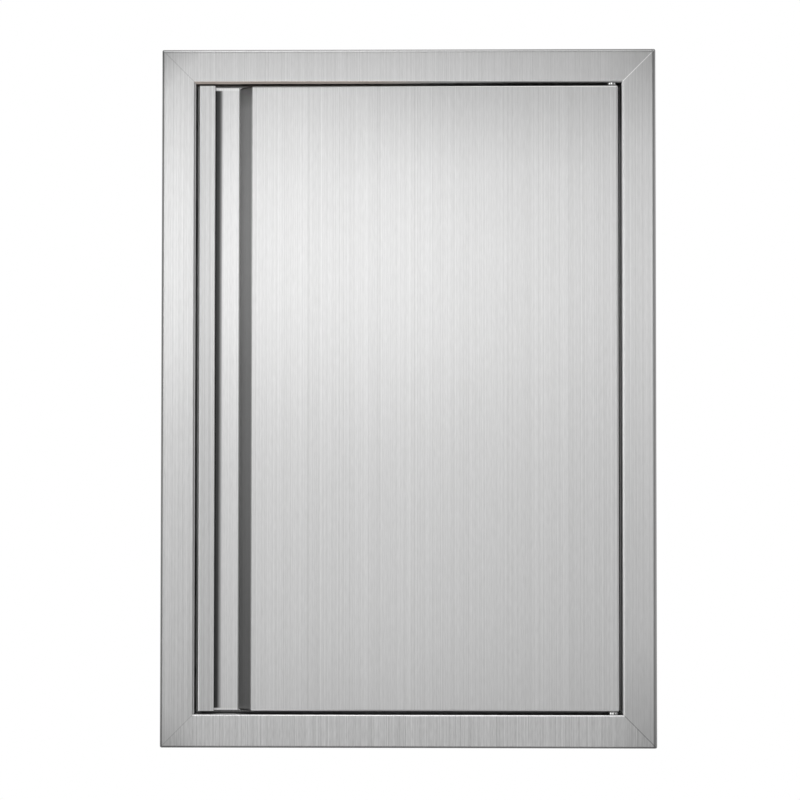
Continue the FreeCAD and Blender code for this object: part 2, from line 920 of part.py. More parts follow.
os.makedirs("parts", exist_ok=True)
for piece in pieces:
    piece.Shape.exportStep(f"parts/{piece.Label}.step")
    print(piece.Label, len(piece.Shape.Solids), round(piece.Shape.Volume, 1))
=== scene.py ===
import bpy
import math
from mathutils import Matrix, Vector

# An outdoor kitchen access door in brushed stainless steel, hung in a mitred frame.
# Metres throughout; the origin is the centre of the opening on the island's face.
# A pair that sets a mask holds where it starts and the width over which it changes.

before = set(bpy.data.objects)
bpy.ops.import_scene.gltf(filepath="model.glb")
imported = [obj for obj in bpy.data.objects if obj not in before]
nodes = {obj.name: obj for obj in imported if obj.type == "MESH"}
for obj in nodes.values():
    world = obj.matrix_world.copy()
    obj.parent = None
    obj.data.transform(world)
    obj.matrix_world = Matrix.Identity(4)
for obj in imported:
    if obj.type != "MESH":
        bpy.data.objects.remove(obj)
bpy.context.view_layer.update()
print("frame loaded:", len(nodes), "nodes")

softness = 0.001  # the width over which one side of a line gives way to the other


class Signal:
    # One socket of a material, so that shader maths reads as maths.

    def __init__(self, tree, socket=None):
        self.tree = tree
        self.socket = socket

    def add(self, kind, settings=None, inputs=None, output=0):
        node = self.tree.nodes.new(kind)
        for name, value in (settings or {}).items():
            if name == "stops":
                ramp = node.color_ramp
                ramp.elements[0].position, ramp.elements[1].position = value[0][0], value[-1][0]
                for place, _ in value[1:-1]:
                    ramp.elements.new(place)
                for element, (_, grey) in zip(ramp.elements, value):
                    element.color = (grey, grey, grey, 1)
            else:
                setattr(node, name, value)
        for name, value in (inputs or {}).items():
            if isinstance(value, Signal):
                self.tree.links.new(value.socket, node.inputs[name])
            else:
                node.inputs[name].default_value = value
        return Signal(self.tree, node.outputs[output] if node.outputs else None)

    def maths(self, operation, first, second=0.0, clamp=False):
        settings = {"operation": operation, "use_clamp": clamp}
        return self.add("ShaderNodeMath", settings, {0: first, 1: second})

    def __add__(self, other):
        return self.maths("ADD", self, other)

    __radd__ = __add__

    def __mul__(self, other):
        return self.maths("MULTIPLY", self, other)

    __rmul__ = __mul__

    def __sub__(self, other):
        return self.maths("SUBTRACT", self, other)

    def __rsub__(self, other):
        return self.maths("SUBTRACT", other, self)

    def __truediv__(self, other):
        return self.maths("DIVIDE", self, other)

    def __rtruediv__(self, other):
        return self.maths("DIVIDE", other, self)

    def __pow__(self, other):
        return self.maths("POWER", self, other)

    def __rpow__(self, other):
        return self.maths("POWER", other, self)

    def __neg__(self):
        return self.maths("MULTIPLY", self, -1.0)

    def __abs__(self):
        return self.maths("ABSOLUTE", self)

    def above(self, edge, soft):  # 0 below the edge, 1 past edge + soft
        return self.maths("DIVIDE", self - edge, soft, clamp=True)

    def below(self, edge, soft):  # 1 up to the edge, 0 past edge + soft
        return 1 - self.above(edge, soft)

    def positive(self):
        return self.above(0, softness)

    def root(self):
        return self.maths("SQRT", self)

    def folded(self, size):  # runs up to a size and back down again, over and over
        return self.maths("PINGPONG", self, size)

    def larger(self, other):
        return self.maths("MAXIMUM", self, other)

    def smaller(self, other):
        return self.maths("MINIMUM", self, other)

    def split(self):
        parts = self.add("ShaderNodeSeparateXYZ", None, {0: self})
        outlets = parts.socket.node.outputs
        return [Signal(self.tree, outlets[i]) for i in range(3)]

    def tint(self, colour):  # grey times a colour
        settings = {"operation": "SCALE"}
        return self.add("ShaderNodeVectorMath", settings, {0: colour, 3: self})

    def grey(self):
        return self.tint((1.0, 1.0, 1.0))

    def blendColour(self, low, high):  # self is the factor
        settings = {"data_type": "RGBA"}
        return self.add("ShaderNodeMix", settings, {0: self, 6: low, 7: high}, output=2)

    def blendDirection(self, low, high):  # self is the factor
        settings = {"data_type": "VECTOR"}
        mixed = self.add("ShaderNodeMix", settings, {0: self, 4: low, 5: high}, output=1)
        return self.add("ShaderNodeVectorMath", {"operation": "NORMALIZE"}, {0: mixed})


def newMaterial(name):
    material = bpy.data.materials.new(name)
    material.use_nodes = True
    material.node_tree.nodes.clear()
    return material, Signal(material.node_tree)


def finishMaterial(start, changing, constant):
    # changing holds links, and constant holds numbers set on the shader's own sockets
    bsdf = start.add("ShaderNodeBsdfPrincipled", None, {**constant, **changing})
    start.add("ShaderNodeOutputMaterial", None, {"Surface": bsdf})


def coordinate(start, outlet):
    # "Object" gives the piece's own x, y and z in metres, and "Normal" gives its own normal
    outlets = start.add("ShaderNodeTexCoord").socket.node.outputs
    return Signal(start.tree, outlets[outlet]).split()


def noise(start, x, y, z, detail=2.0, roughness=0.5):
    vector = start.add("ShaderNodeCombineXYZ", None, {0: x, 1: y, 2: z})
    inputs = {"Vector": vector, "Scale": 1.0, "Detail": detail, "Roughness": roughness}
    return start.add("ShaderNodeTexNoise", None, inputs) - 0.5


def bumped(start, height, strength, distance):
    inputs = {"Strength": strength, "Distance": distance, "Height": height}
    return start.add("ShaderNodeBump", None, inputs)


def factorAlong(value, stops):
    # a factor from 0 to 2 that changes along a value from 0 to 1
    halved = [(place, factor / 2) for place, factor in stops]
    return 2 * value.add("ShaderNodeValToRGB", {"stops": halved}, {"Fac": value})


def bentTone(tone, look, bends):
    # painted highlight and shade on each bend, from the flat face round to its far side
    for name, facingIt, where in bends:
        tone = tone * (1 + where * (factorAlong(facingIt, look[name]) - 1))
    return tone


def reach(nodeName):
    # how far a piece reaches to the right and up, in its own coordinates at every pose
    x, _, z = nodes[nodeName].bound_box[6]  # the corner at the high end of each axis
    return x, z


squarely = (0.8, 0.1)  # how squarely a flat side has to face a way to count
towardsFront = (0.0, -1.0, 0.0)

# the brushed grain that the frame's four bars and the door's outer sheet share
brushed = {
    "tone": 0.60,
    "roughness": 0.33,
    "streakRoughness": 0.03,
    "anisotropy": 0.75,
    "streak": (0.0006, 1.4, 0.36),  # width and length in metres, and depth
    "evened": (0.0011, 0.55),  # a streak weakens its neighbour this far away by this share
    "nick": (0.0006, 0.009, 0.20),
    "hairline": (0.0008, 0.35, 0.05),
    "darkHair": (0.14, 0.08),  # where the noise makes a hairline dark, and where pale
    "paleHair": (0.16, 0.08),
    "cloud": (0.016, 0.05, 0.025),
    "level": (0.75, 0.05),  # how level a face has to be for the brush to turn
    "bump": (0.05, 0.0001),  # strength and height
}


def streaks(start, spot, facing, width, length, detail=1.0):
    # they run up and down on upright faces, and sideways on level ones
    x, y, z = spot
    isLevel = abs(facing[2]).above(*brushed["level"])
    upright = noise(start, x / width, y / width, z / length, detail)
    level = noise(start, x / length, y / width, z / width, detail)
    return upright + isLevel * (level - upright)


def brushMarks(start, spot, facing, lengthen=1.0, clouded=1.0):
    # all the marks of the brush, and the finest streaks alone
    x, y, z = spot
    drawn = [x, y, z / lengthen]
    width, length, depth = brushed["streak"]
    apart, less = brushed["evened"]
    beside = [place + apart for place in drawn]
    fine = streaks(start, drawn, facing, width, length)
    fine = fine - less * streaks(start, beside, facing, width, length)
    nickWidth, nickLength, nickDepth = brushed["nick"]
    nick = streaks(start, spot, facing, nickWidth, nickLength)
    hairWidth, hairLength, hairDepth = brushed["hairline"]
    hair = streaks(start, drawn, facing, hairWidth, hairLength, detail=0.0)
    hair = hair.above(*brushed["darkHair"]) - (-hair).above(*brushed["paleHair"])
    cloudWidth, cloudLength, cloudDepth = brushed["cloud"]
    x, y, z = drawn
    cloud = noise(start, x / cloudWidth, y / cloudWidth, z / cloudLength)
    marks = depth * fine + nickDepth * nick + clouded * cloudDepth * cloud - hairDepth * hair
    return marks, fine


def finishBrushed(start, tone, fine, normal):
    changing = {
        "Base Color": tone,
        "Roughness": brushed["roughness"] + brushed["streakRoughness"] * fine,
        "Normal": normal,
    }
    constant = {"Metallic": 1.0, "Anisotropic": brushed["anisotropy"]}
    finishMaterial(start, changing, constant)


# the frame: a mitred section, folded from one sheet
halfWidth, halfHeight = reach("frame_stile_right")[0], reach("frame_rail_top")[1]
barWidth = 0.0294
openingX, openingZ = halfWidth - barWidth, halfHeight - barWidth
midBarX, midBarZ = halfWidth - barWidth / 2, halfHeight - barWidth / 2

frameLook = {
    "coarseness": (1.12, 0.92, 2.0, 1.0),  # of the left, right, bottom and top bars' grain
    "railShift": 0.07,  # how far the rails' grain is moved off the stiles'
    "mitre": (halfHeight - halfWidth, 0.00002),
    "front": (-0.0170, 0.001),
    "lip": (-0.0145, 0.003),  # with the first of the wall beside the door
    # painted highlight and shade on each bend, from the flat face round to its far side
    "outerLeft": [
        (0.0, 1.0), (0.12, 1.05), (0.25, 1.0), (0.36, 0.2),
        (0.62, 0.2), (0.75, 0.5), (1.0, 0.8),
    ],
    "outerRight": [(0.0, 1.0), (0.1, 0.72), (0.7, 0.72), (0.9, 0.45), (1.0, 0.45)],
    "outerTop": [(0.0, 1.0), (0.1, 0.85), (0.8, 0.72), (0.92, 0.3), (1.0, 0.3)],
    "outerBottom": [(0.0, 1.0), (0.25, 1.0), (0.42, 0.36), (1.0, 0.36)],
    "innerLeft": [(0.0, 1.0), (0.3, 1.06), (0.6, 0.65), (0.8, 0.5), (0.9, 1.2), (1.0, 1.3)],
    "innerRight": [
        (0.0, 1.0), (0.3, 1.08), (0.55, 1.15), (0.7, 1.5),
        (0.9, 1.6), (0.97, 0.8), (1.0, 0.8),
    ],
    "innerTop": [
        (0.0, 1.0), (0.05, 1.12), (0.35, 1.22), (0.65, 1.2),
        (0.8, 0.6), (0.9, 0.7), (1.0, 1.0),
    ],
    "innerBottom": [
        (0.0, 1.0), (0.06, 0.9), (0.18, 0.9), (0.3, 1.6),
        (0.5, 1.6), (0.62, 0.35), (1.0, 0.35),
    ],
}


def pastMitre(x, z):
    # 1 on the two rails, 0 on the two stiles
    return (abs(z) - abs(x)).above(*frameLook["mitre"])


def coarseness(x, z):
    left, right, bottom, top = frameLook["coarseness"]
    stile = left + (right - left) * x.positive()
    rail = bottom + (top - bottom) * z.positive()
    return stile + pastMitre(x, z) * (rail - stile)


# where the inner bends run out softly into the walls beside the door: how far the normal
# turns to the front, how squarely a wall faces the door, and how deep the turn reaches
frameRolls = {
    "left": (0.8, squarely, (-0.0145, 0.003)),
    "right": (0.7, (0.92, 0.05), (-0.009, 0.005)),
    "top": (0.8, squarely, (-0.0135, 0.002)),
    "fadeAlongTop": (0.6, (-0.05, 0.15)),
    "nearDoorX": (openingX + 0.0003, 0.0004),
    "nearDoorZ": (openingZ + 0.0003, 0.0004),
}


def rolledFrame(normal, spot, facing):
    x, y, z = spot
    acrossX, _, acrossZ = facing
    fade, fadePlace = frameRolls["fadeAlongTop"]
    total = 0
    for side, facingIt, where in (
        ("left", acrossX, 1 - x.positive()),
        ("right", -acrossX, x.positive()),
        ("top", -acrossZ, z.positive() * (1 - fade * x.above(*fadePlace))),
    ):
        turn, square, depth = frameRolls[side]
        total = total + turn * facingIt.above(*square) * y.below(*depth) * where
    nearDoor = abs(x).below(*frameRolls["nearDoorX"]) * abs(z).below(*frameRolls["nearDoorZ"])
    return (nearDoor * total).blendDirection(normal, towardsFront)


# the ground-down weld at each mitre: a dark line, darker at the left than at the right, with a
# painted highlight on it at the top right
frameWelds = {
    "halfWidth": 0.0003,
    "widerAtGlint": 0.00012,
    "soft": 0.0002,
    "darkened": (0.25, 0.55),  # at the left and at the right
    "paintedGlint": 0.7,
}


def weldedFrame(tone, spot, facing):
    x, y, z = spot
    isRight, isTopRight = x.positive(), x.positive() * z.positive()
    fromMitre = abs(abs(z) - abs(x) - (halfHeight - halfWidth))
    edge = frameWelds["halfWidth"] + frameWelds["widerAtGlint"] * isTopRight
    line = fromMitre.below(edge, frameWelds["soft"]) * abs(facing[1]).above(*squarely)
    paintedGlint = line * isTopRight * y.below(*frameLook["front"])
    dullLeft, dullRight = frameWelds["darkened"]
    tone = tone * (1 - line * (dullLeft + (dullRight - dullLeft) * isRight))
    return tone + frameWelds["paintedGlint"] * paintedGlint


# painted highlight and shade on the frame's eight bends
def bentFrame(tone, spot, facing):
    x, y, z = spot
    acrossX, _, acrossZ = facing
    front, lip = y.below(*frameLook["front"]), y.below(*frameLook["lip"])
    isRight, isTop = x.positive(), z.positive()
    isLeft, isBottom = 1 - isRight, 1 - isTop
    outerX, outerZ = (abs(x) - midBarX).positive(), (abs(z) - midBarZ).positive()
    bends = (
        ("outerLeft", -acrossX, isLeft * outerX * front),
        ("outerRight", acrossX, isRight * outerX * front),
        ("outerTop", acrossZ, isTop * outerZ * front),
        ("outerBottom", -acrossZ, isBottom * outerZ * front),
        ("innerLeft", acrossX, isLeft * (1 - outerX) * lip),
        ("innerRight", -acrossX, isRight * (1 - outerX) * front),
        ("innerTop", -acrossZ, isTop * (1 - outerZ) * lip),
        ("innerBottom", acrossZ, isBottom * (1 - outerZ) * front),
    )
    return bentTone(tone, frameLook, bends)


# painted shade on the frame's front where the light falls off: a line by the right outer bend,
# the right stile's ends, the corners, the top bend, the fold line, the feet and the top rail's
# right end; each by how much, and then the masks of its place
frameShade = {
    "strip": (0.36, (halfWidth - 0.0035, 0.0003), (halfWidth - 0.0021, 0.0008)),
    "ends": (0.17, (0.165, 0.04), (0.215, 0.09)),
    "lessOnTopRail": 0.5,
    "corners": (0.28, 0.08, (0.48, 0.035)),  # at the left, at the right, and how far out
    "toTheRight": (0, 0.1),
    "lowerCorners": 0.65,
    "topBend": (0.3, (-0.05, 0.2), (0.1, 0.1)),
    "foldLine": (0.13, (halfHeight - 0.0034, 0.0002), (halfHeight - 0.0027, 0.0003)),
    "leftFoot": (0.10, (-0.05, 0.35)),
    "rightFoot": (0.04, (0.05, 0.2)),
    "topRailEnd": (0.08, (0.02, 0.18)),
}


# painted shade over the frame's front, from the table above
def wornFrame(tone, spot, facing):
    x, y, z = spot
    _, acrossY, acrossZ = facing
    isTop, front = z.positive(), y.below(*frameLook["front"])
    isTopRail = isTop * pastMitre(x, z)
    darker, start, stop = frameShade["strip"]
    tone = tone * (1 - darker * x.above(*start) * x.below(*stop) * (-acrossY).above(*squarely))
    darker, alongX, alongZ = frameShade["ends"]
    ends = x.above(*alongX) * abs(z).above(*alongZ)
    ends = ends * (1 - frameShade["lessOnTopRail"] * isTopRail)
    tone = tone * (1 - darker * ends)
    atLeft, atRight, outward = frameShade["corners"]
    darker = atLeft + (atRight - atLeft) * x.above(*frameShade["toTheRight"])
    lower = frameShade["lowerCorners"]
    corners = (abs(x) + abs(z)).above(*outward) * (lower + (1 - lower) * isTop)
    tone = tone * (1 - darker * corners)
    darker, alongX, upward = frameShade["topBend"]
    topBend = (z - midBarZ).positive() * x.above(*alongX) * acrossZ.above(*upward)
    tone = tone * (1 - darker * topBend * front)
    darker, start, stop = frameShade["foldLine"]
    tone = tone * (1 - darker * z.above(*start) * z.below(*stop) * front)
    for name, where, towards in (
        ("leftFoot", x.below(-openingX, softness), -z),
        ("rightFoot", x.above(openingX, softness), -z),
        ("topRailEnd", isTopRail, x),
    ):
        darker, place = frameShade[name]
        tone = tone * (1 - darker * where * towards.above(*place))
    return tone


# painted shade beside the door and on the stop ledge, in the gap between them: where a share by
# which it is darker is given, it stands before the masks of its place
frameGapShade = {
    "insideX": (openingX + 0.0001, 0.0003),
    "insideZ": (openingZ + 0.0001, 0.0003),
    "insideY": (-0.0005, 0.001),
    "tone": 0.35,
    "atFoot": (0.4, (0.272, 0.002)),
    "darkened": (-0.0135, 0.003),
    "shadeAtRight": (0.8, (-0.007, 0.004)),
    "topRight": (0.6, (0.222, 0.03), (-0.016, 0.004)),
    # painted shade on the stop ledge, darkest close beside the door's right edge
    "ledgeX": (0.1825, 0.0002),
    "ledgeY": (-0.0014, 0.0003),
    "ledge": (0.85, 1.05, (0.1846, 0.001)),  # how dark, and how much less further out
    # the painted warm reflection that the top bend takes from the door, with painted shade on
    # it towards the right
    "underZ": ((0.27, 0.001), (0.28, 0.001)),
    "underFacing": (0.2, 0.2),
    "underRight": (0.2, (0.75, 0.1), (-0.06, 0.08)),
    "underLeft": (-0.03, 0.06),
    "warm": (1.0, 0.88, 0.80),
}


# painted shade in the gap, and a painted warm reflection under the top bend
def gappedFrame(tone, spot, facing):
    x, y, z = spot
    acrossX, acrossY, acrossZ = facing
    inside = abs(x).below(*frameGapShade["insideX"]) * abs(z).below(*frameGapShade["insideZ"])
    inside = inside * y.below(*frameGapShade["insideY"])
    onRight = (-acrossX).above(*squarely)
    rightShadeShare, rightPlace = frameGapShade["shadeAtRight"]
    elsewhere = y.above(*frameGapShade["darkened"]) * (1 - onRight)
    darkened = elsewhere + rightShadeShare * y.above(*rightPlace) * onRight
    lessAtFoot, footPlace = frameGapShade["atFoot"]
    deep = 1 - frameGapShade["tone"] * (1 - lessAtFoot * (-z).above(*footPlace))
    tone = tone * (1 - inside * darkened * deep)
    isLedgeSide = x.above(*frameGapShade["ledgeX"])
    darker, upward, inward = frameGapShade["topRight"]
    topRight = inside * isLedgeSide * z.above(*upward) * y.above(*inward)
    tone = tone * (1 - darker * topRight)
    darkest, lighter, outward = frameGapShade["ledge"]
    ledge = isLedgeSide * y.above(*frameGapShade["ledgeY"]) * (-acrossY).above(*squarely)
    tone = tone * (1 - ledge * (darkest - lighter * x.above(*outward)))
    start, stop = frameGapShade["underZ"]
    under = (-acrossZ).above(*frameGapShade["underFacing"]) * z.above(*start) * z.below(*stop)
    darker, steep, rightward = frameGapShade["underRight"]
    tone = tone * (1 - darker * under * (-acrossZ).below(*steep) * x.above(*rightward))
    tone = tone.smaller(1.0)
    warmReflection = under * x.below(*frameGapShade["underLeft"])
    return warmReflection.blendColour(tone.grey(), tone.tint(frameGapShade["warm"]))


def frameSheet(name):
    material, start = newMaterial(name)
    spot, facing = coordinate(start, "Object"), coordinate(start, "Normal")
    x, y, z = spot
    # the rails are other pieces of sheet, so the stiles' streaks don't carry on over them
    shifted = [x, y + frameLook["railShift"] * pastMitre(x, z), z]
    marks, fine = brushMarks(start, shifted, facing)
    tone = brushed["tone"] * (1 + coarseness(x, z) * marks)
    for dress in (weldedFrame, bentFrame, wornFrame, gappedFrame):
        tone = dress(tone, spot, facing)
    normal = rolledFrame(bumped(start, fine, *brushed["bump"]), spot, facing)
    finishBrushed(start, tone, fine, normal)
    return material


# the door's outer sheet
doorHalfWidth, doorHalfHeight = reach("door_skin")

doorLook = {
    # against the frame's grain: how strong, how wide, how long and how cloudy
    "strength": 1.15,
    "widen": 0.85,
    "lengthen": 3.0,
    "clouded": 0.5,
    "front": (-0.0165, 0.001),
    # painted highlight and shade on the folds, from the flat face round to their far side
    "topFold": [(0.0, 1.0), (0.26, 1.0), (0.32, 1.15), (0.45, 1.15), (0.55, 0.28), (1.0, 0.28)],
    "bottomFold": [(0.0, 1.0), (0.3, 1.2), (0.6, 1.6), (0.9, 1.8), (1.0, 1.6)],
    "leftFold": [(0.0, 1.0), (0.2, 1.2), (0.55, 1.3), (0.7, 0.35), (1.0, 0.35)],
    "rightFold": [(0.0, 1.0), (0.1, 1.1), (0.5, 1.1), (0.85, 1.2), (0.97, 0.5), (1.0, 0.5)],
    "hem": [(0.0, 1.0), (0.2, 1.5), (1.0, 1.6)],
    "topFoldShadeWidth": (0.25, 0.5, (-0.095, 0.27)),  # the top fold's painted dark line is wider to the left
    "bottomFoldEnds": (-0.1, 0.07),
    "sideFolds": (0.175, 0.001),
    "hemEnds": (-0.165, 0.001),
    # the lip darker, less so near its top; painted shade on the flat face's top right and on
    # the edges beside the gap
    "face": (0.1, (-0.1350, 0.001), (-0.0170, 0.001)),
    "faceTop": ((0.2, 0.073), (-0.08, 0.08)),
    "lip": (0.14, (-0.169, 0.0005), (-0.018, 0.001)),
    "lipTop": (0.07, (0.2, 0.07)),
    "edge": (0.4, (-0.0165, 0.003)),
    "edgeX": ((-0.1355, 0.0005), (0.0007 - doorHalfWidth, 0.0003)),  # past the pull; left
}


# the finger pull, from the hem behind the lip to the slope up to the face
pullLook = {
    "x": (-0.1485, 0.0005),
    "y": ((-0.0125, 0.003), (-0.0045, 0.0002)),
    # painted light that makes the pull's floor a little lighter
    "floor": 0.08,
    # the painted shadow under the lip, narrow at the top of the pull and wider at its foot
    "lipShadow": (0.9, (-0.1735, 0.0015)),
    "lipShadowEdge": (-0.1672, 0.0039),
    "lipShadowPower": (1.9, 3.0),  # halfway up, and its change per metre
    # a painted highlight at the pull's two ends, where the lip's painted shadow stops
    "topEnd": (0.2700, 0.0008),
    "bottomEnd": (0.2708, 0.0005),
    "endHighlight": 0.15,
    # painted shade at the slope's foot
    "slopeFoot": (0.7, (-0.1495, 0.0005)),
    "slopeX": ((-0.1486, 0.0002), (-0.136, 0.0005)),
    "slopeFacing": (0.2, 0.15),
    # painted shade on the slope: its brightness up from its foot, and from its bottom end to
    # its top end
    "up": (1.22, 0.48, (-0.1483, 0.0115)),
    "slope": [
        (0.0, 0.44), (0.15, 0.49), (0.4, 0.64), (0.53, 0.71),
        (0.66, 0.87), (0.78, 0.955), (0.88, 0.93), (0.965, 0.88), (0.9835, 0.63),
        (0.987, 0.53), (0.993, 0.44), (0.996, 0.39), (0.9975, 0.27), (1.0, 0.27),
    ],
}


# painted shadow under the lip, painted light on the floor and its ends, painted shade at the
# slope's foot
def grimyPull(tone, spot):
    x, y, z = spot
    start, stop = pullLook["y"]
    inPull = x.below(*pullLook["x"]) * y.above(*start) * y.below(*stop)
    atEnd = z.above(*pullLook["topEnd"]).larger((-z).above(*pullLook["bottomEnd"]))
    least, perMetre = pullLook["lipShadowPower"]
    lit = x.above(*pullLook["lipShadowEdge"]) ** (least + perMetre * z)
    darkest, place = pullLook["lipShadow"]
    lipShadow = darkest * inPull * x.above(*place) * (1 - atEnd) * (1 - lit)
    lighter = inPull * (pullLook["floor"] + pullLook["endHighlight"] * atEnd)
    tone = tone * (1 - lipShadow) * (1 + lighter)
    darker, place = pullLook["slopeFoot"]
    return tone * (1 - darker * inPull * x.above(*place))


# painted shade on the pull's slope
def slopedPull(tone, spot, facing):
    x, _, z = spot
    start, stop = pullLook["slopeX"]
    isSlope = x.above(*start) * x.below(*stop) * (-facing[0]).above(*pullLook["slopeFacing"])
    along = factorAlong((z + doorHalfHeight) / (2 * doorHalfHeight), pullLook["slope"])
    atFoot, less, place = pullLook["up"]
    return tone * (1 + isSlope * (along * (atFoot - less * x.above(*place)) - 1))


# the lip darker; painted shade on the face's top right and on the edges beside the gap
def flatDoor(tone, spot):
    x, y, z = spot
    darker, alongX, alongY = doorLook["lip"]
    lighter, upward = doorLook["lipTop"]
    isLip = x.below(*alongX) * y.below(*alongY)
    tone = tone * (1 - isLip * (darker - lighter * z.above(*upward)))
    darker, alongX, alongY = doorLook["face"]
    upward, rightward = doorLook["faceTop"]
    isFace = x.above(*alongX) * y.below(*alongY)
    tone = tone * (1 - darker * isFace * z.above(*upward) * x.above(*rightward))
    darker, alongY = doorLook["edge"]
    pastPull, left = doorLook["edgeX"]
    isEdge = y.above(*alongY) * x.above(*pastPull).larger(x.below(*left))
    return tone * (1 - darker * isEdge)


# painted highlight and shade on the door's folds and hem
def bentDoor(tone, spot, facing):
    x, y, z = spot
    acrossX, _, acrossZ = facing
    front, isTop = y.below(*doorLook["front"]), z.positive()
    wider, less, place = doorLook["topFoldShadeWidth"]
    side, soft = doorLook["sideFolds"]
    bends = (
        ("topFold", acrossZ + (wider - less * x.above(*place)), front * isTop),
        ("bottomFold", -acrossZ, front * (1 - isTop) * x.below(*doorLook["bottomFoldEnds"])),
        ("leftFold", -acrossX, front * x.below(-side, soft)),
        ("rightFold", acrossX, front * x.above(side, soft)),
        ("hem", acrossX, front * x.below(*doorLook["hemEnds"])),
    )
    return bentTone(tone, doorLook, bends)


def doorSheet(name):
    material, start = newMaterial(name)
    spot, facing = coordinate(start, "Object"), coordinate(start, "Normal")
    x, y, z = spot
    widened = [x / doorLook["widen"], y / doorLook["widen"], z]
    marks, fine = brushMarks(start, widened, facing, doorLook["lengthen"], doorLook["clouded"])
    tone = brushed["tone"] * (1 + doorLook["strength"] * marks)
    tone = bentDoor(flatDoor(grimyPull(tone, spot), spot), spot, facing)
    tone = slopedPull(tone, spot, facing).smaller(1.0)
    finishBrushed(start, tone.grey(), fine, bumped(start, fine, *brushed["bump"]))
    return material


# the door's inner sheets, finer than the front's, with faint spot-weld marks
liner = {
    "tone": 0.56,
    "roughness": 0.36,
    "anisotropy": 0.6,
    "grain": (0.0009, 0.5),  # width and length in metres
    "grainDepth": 0.30,
    "scuff": (0.0012, 0.02),
    "scuffDepth": 0.12,
    "cloud": (0.05, 0.09),
    "cloudDepth": 0.10,
    "cloudRoughness": 0.10,
    "weldRows": (0.1753, 0.2651),  # sideways and upward from the middle
    "weldPitch": 0.062,
    "weld": (0.0024, 0.0012),  # its radius, and how softly it ends
    "weldShade": 0.16,
    "weldRoughness": 0.12,
    "weldSink": 3.0,
    "heat": (0.0032, 0.003),  # the straw-coloured ring round a weld
    "heatShare": 0.4,
    "straw": (1.0, 0.88, 0.70),
    "bump": (0.06, 0.0001),
}


def linerSheet(name):
    material, start = newMaterial(name)
    spot, facing = coordinate(start, "Object"), coordinate(start, "Normal")
    x, y, z = spot
    grain = streaks(start, spot, facing, *liner["grain"])
    scuff = streaks(start, spot, facing, *liner["scuff"])
    wide, tall = liner["cloud"]
    cloud = noise(start, x / wide, y / wide, z / tall, detail=4.0, roughness=0.6)
    marks = liner["grainDepth"] * grain + liner["scuffDepth"] * scuff
    marks = marks + liner["cloudDepth"] * cloud
    rowX, rowZ = liner["weldRows"]
    alongX, alongZ = (place.folded(liner["weldPitch"] / 2) for place in (x, z))
    acrossX, acrossZ = abs(x) - rowX, abs(z) - rowZ
    upright = (alongZ * alongZ + acrossX * acrossX).root()
    level = (alongX * alongX + acrossZ * acrossZ).root()
    away, isBack = upright.smaller(level), facing[1].above(*squarely)
    weld = away.below(*liner["weld"]) * isBack
    heat = (away.below(*liner["heat"]) * isBack - weld).larger(0)
    tone = liner["tone"] * (1 + marks - liner["weldShade"] * weld)
    straw = tone.tint(liner["straw"])
    rougher = liner["cloudRoughness"] * cloud + liner["weldRoughness"] * weld
    changing = {
        "Base Color": (liner["heatShare"] * heat).blendColour(tone.grey(), straw),
        "Roughness": liner["roughness"] + rougher,
        "Normal": bumped(start, grain - liner["weldSink"] * weld, *liner["bump"]),
    }
    finishMaterial(start, changing, {"Metallic": 1.0, "Anisotropic": liner["anisotropy"]})
    return material


# the split spring washers: bright turned steel with one dark cut
washers = {
    "tone": 0.95,
    "roughness": 0.2,
    "rings": (0.004, 0.0002),  # across and along the pivot
    "ringDepth": 0.08,
    "cut": ((0.1786, 0.0002), (0.1795, 0.0002)),
    "cutFacing": (0.2, 0.2),
    "cutShade": 0.75,
    "cutRoughness": 0.2,
    "cutSink": 3.0,
    "bump": (0.05, 0.0001),
}


def washerSteel(name):
    material, start = newMaterial(name)
    x, y, z = coordinate(start, "Object")
    acrossY = coordinate(start, "Normal")[1]
    across, along = washers["rings"]
    rings = noise(start, x / across, y / across, z / along, roughness=0.6)
    fromX, toX = washers["cut"]
    cut = x.above(*fromX) * x.below(*toX) * (-acrossY).above(*washers["cutFacing"])
    tone = washers["tone"] * (1 + washers["ringDepth"] * rings)
    tone = tone * (1 - washers["cutShade"] * cut)
    rougher = washers["ringDepth"] * rings + washers["cutRoughness"] * cut
    changing = {
        "Base Color": tone.smaller(1.0).grey(),
        "Roughness": washers["roughness"] + rougher,
        "Normal": bumped(start, rings - washers["cutSink"] * cut, *washers["bump"]),
    }
    finishMaterial(start, changing, {"Metallic": 1.0})
    return material


# the small metal pieces
smallMetals = {
    "zincPlate": {
        "tone": 0.62, "tint": (0.98, 1.0, 1.03), "roughness": 0.36,
        "mark": 0.0006, "depth": 0.12,
    },
    "strikeSteel": {
        "tone": 0.58, "tint": (0.98, 1.0, 1.02), "roughness": 0.34,
        "mark": 0.0005, "depth": 0.14, "welded": True,
    },
    "brightSteel": {
        "tone": 0.78, "tint": (1.0, 1.0, 1.0), "roughness": 0.16,
        "mark": 0.0004, "depth": 0.05,
    },
    "blockAluminium": {
        "tone": 0.72, "tint": (1.0, 1.0, 1.01), "roughness": 0.4,
        "mark": 0.0005, "depth": 0.1,
    },
    "darkFerrite": {
        "tone": 0.09, "tint": (1.0, 1.0, 1.05), "roughness": 0.5,
        "mark": 0.0004, "depth": 0.3,
    },
}

metalMarks = {
    "stain": 1 / 60,  # its size in metres
    "stainShare": 0.5,
    "roughness": 0.15,
    "bump": (0.06, 0.0001),
}

# two spot welds in each strike plate, with a straw-coloured ring of heat
strikeWelds = {
    "x": -0.1688,
    "z": (0.129, 0.171),
    "weld": (0.0016, 0.0004),
    "heat": (0.0022, 0.0025),
    "shade": 0.3,
    "sink": 6.0,
    "roughness": 0.1,
    "straw": (0.95, 0.80, 0.55),
    "strawShare": 0.7,
}


